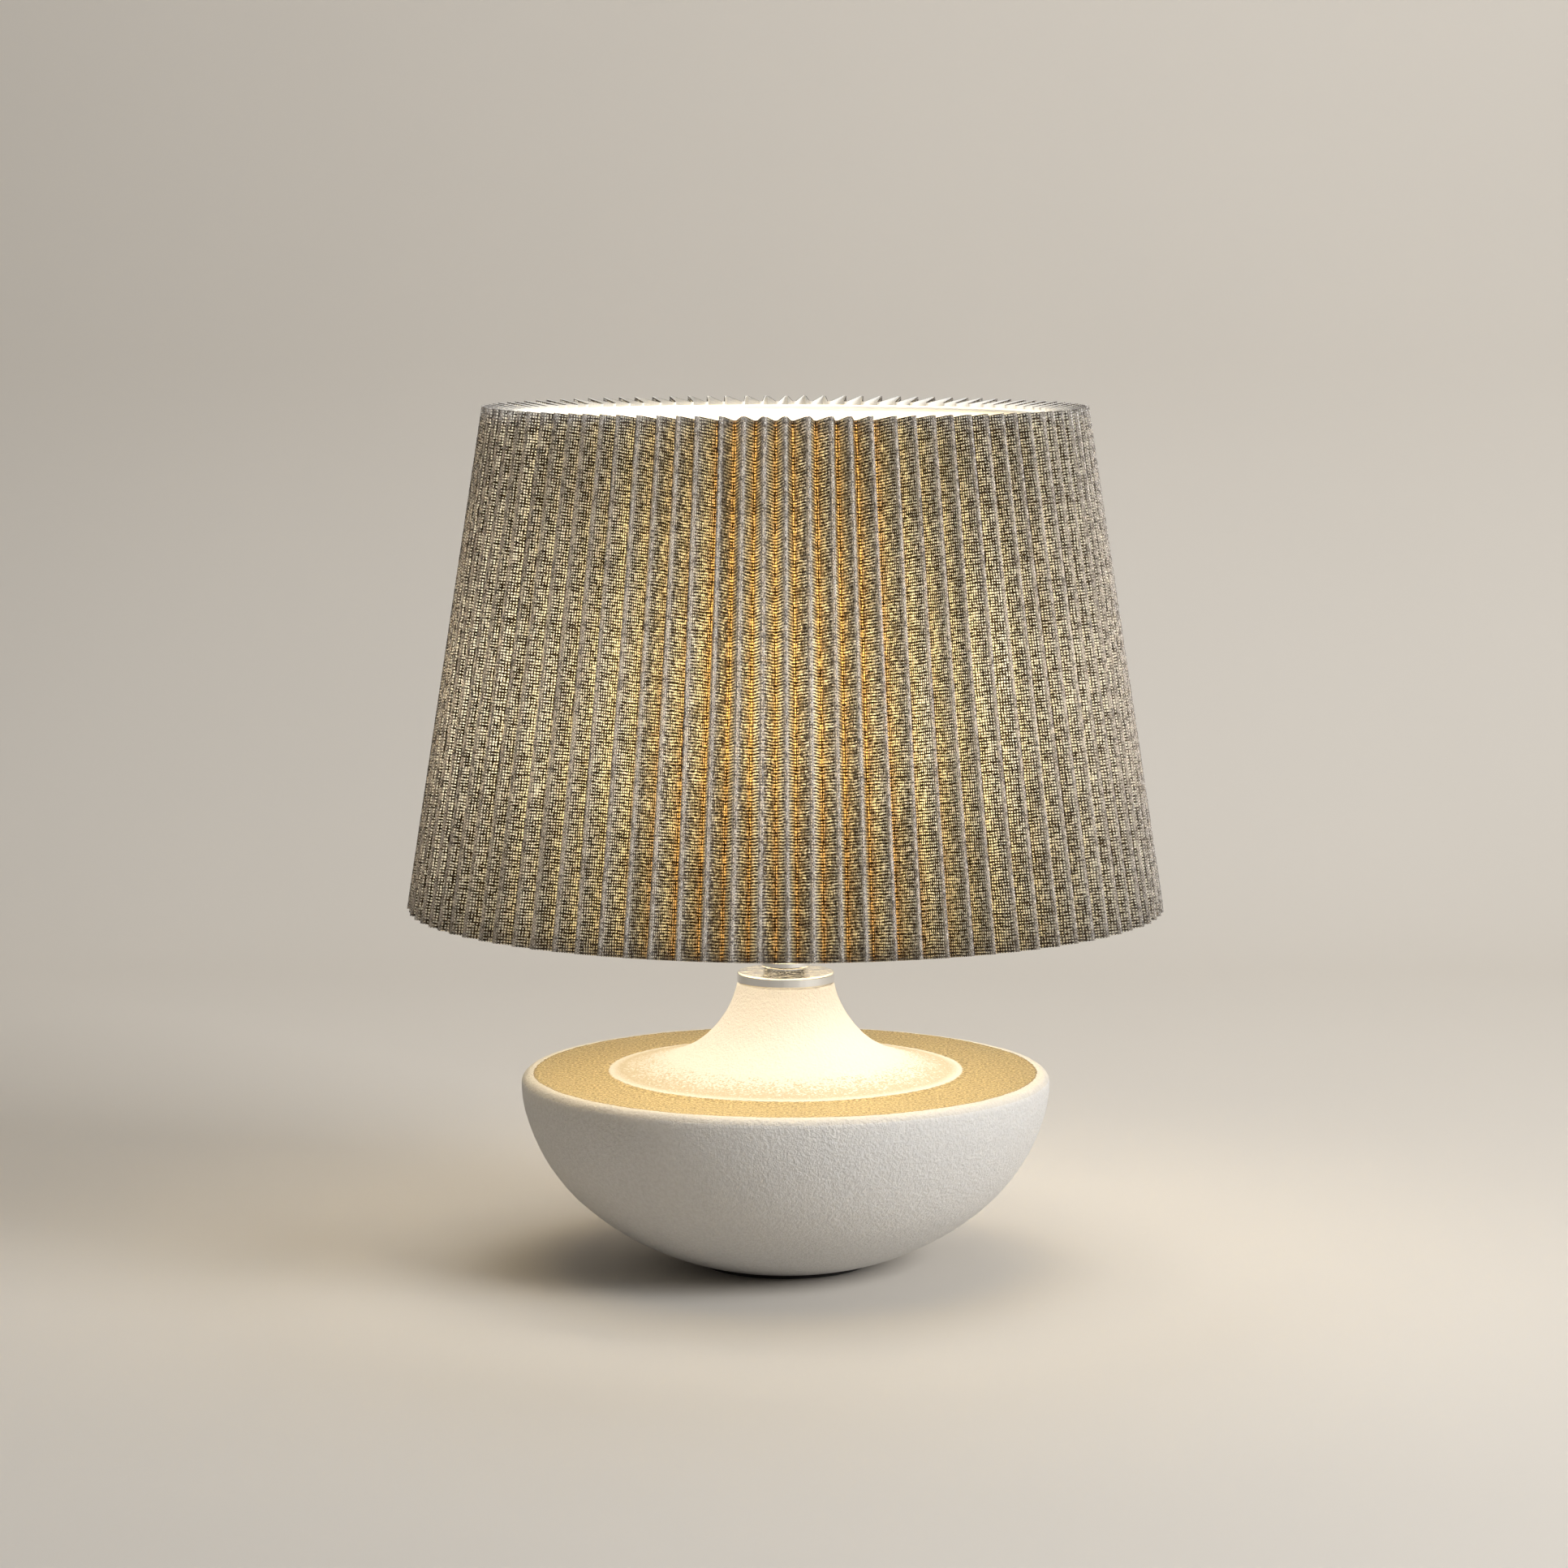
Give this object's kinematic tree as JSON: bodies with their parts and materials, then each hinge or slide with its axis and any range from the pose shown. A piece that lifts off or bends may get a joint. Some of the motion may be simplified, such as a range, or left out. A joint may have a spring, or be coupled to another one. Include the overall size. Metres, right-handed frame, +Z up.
{
  "type": "table lamp with shade",
  "caption": "Table lamp with a round ceramic base, slim flared neck, screw-in bulb and a pleated open-weave drum shade on a ring fitting.",
  "frame": {"origin": "on the lamp's axis at the underside of the felt pad, where the lamp stands on the table", "axes": "+Z up along the lamp's axis, +Y towards the back where the cable leaves, +X to the right seen from the front"},
  "size_m": [0.45, 0.45, 0.5127],
  "materials": {
    "ceramic": "matt sandy white with a gold painted band on the top",
    "felt": "dark felt",
    "zinc": "zinc plated",
    "brass": "plain turned brass",
    "black_rubber": "moulded rubber",
    "chrome": "polished",
    "holder_plastic": "moulded off-white plastic",
    "porcelain": "glazed insulator",
    "solder": "soldered contact",
    "black_glass": "black insulator",
    "nickel": "nickel plated screw cap",
    "opal_glass": "opal white, lit from inside",
    "white_enamel": "white baked enamel on steel wire",
    "liner": "thin translucent white liner",
    "open_weave": "coarse open plain weave, pleated"
  },
  "bodies": {
    "base": {"ceramic_body": "ceramic", "felt_pad": "felt", "foot_washer": "zinc", "foot_nut": "brass", "threaded_tube": "zinc", "cable_grommet": "black_rubber", "vase_cap": "chrome", "neck_ring": "chrome", "tube_locknut": "brass", "holder_cap": "chrome", "holder_skirt": "holder_plastic", "holder_core": "porcelain", "terminal_blocks": "brass", "terminal_screws": "zinc", "centre_contact": "brass", "thread_shell": "brass", "shade_seat_ring": "holder_plastic"},
    "lock_ring": {"shade_lock_ring": "holder_plastic"},
    "bulb": {"bulb_contact": "solder", "bulb_insulator": "black_glass", "bulb_cap": "nickel", "bulb_glass": "opal_glass"},
    "shade": {"carrier_hub": "white_enamel", "carrier_arms": "white_enamel", "wire_ring_bottom": "white_enamel", "wire_ring_top": "white_enamel", "shade_liner": "liner", "pleated_cover": "open_weave"}
  },
  "joints": [
    {"name": "shade_turn", "type": "hinge", "parent": "base", "child": "shade", "pos_m": [0, 0, 0.2275], "axis": [0, 0, 1], "continuous": true},
    {"name": "lock_ring_turn", "type": "hinge", "parent": "base", "child": "lock_ring", "pos_m": [0, 0, 0.23], "axis": [0, 0, 1], "continuous": true},
    {"name": "bulb_turn", "type": "hinge", "parent": "base", "child": "bulb", "pos_m": [0, 0, 0.24], "axis": [0, 0, 1], "continuous": true}
  ]
}
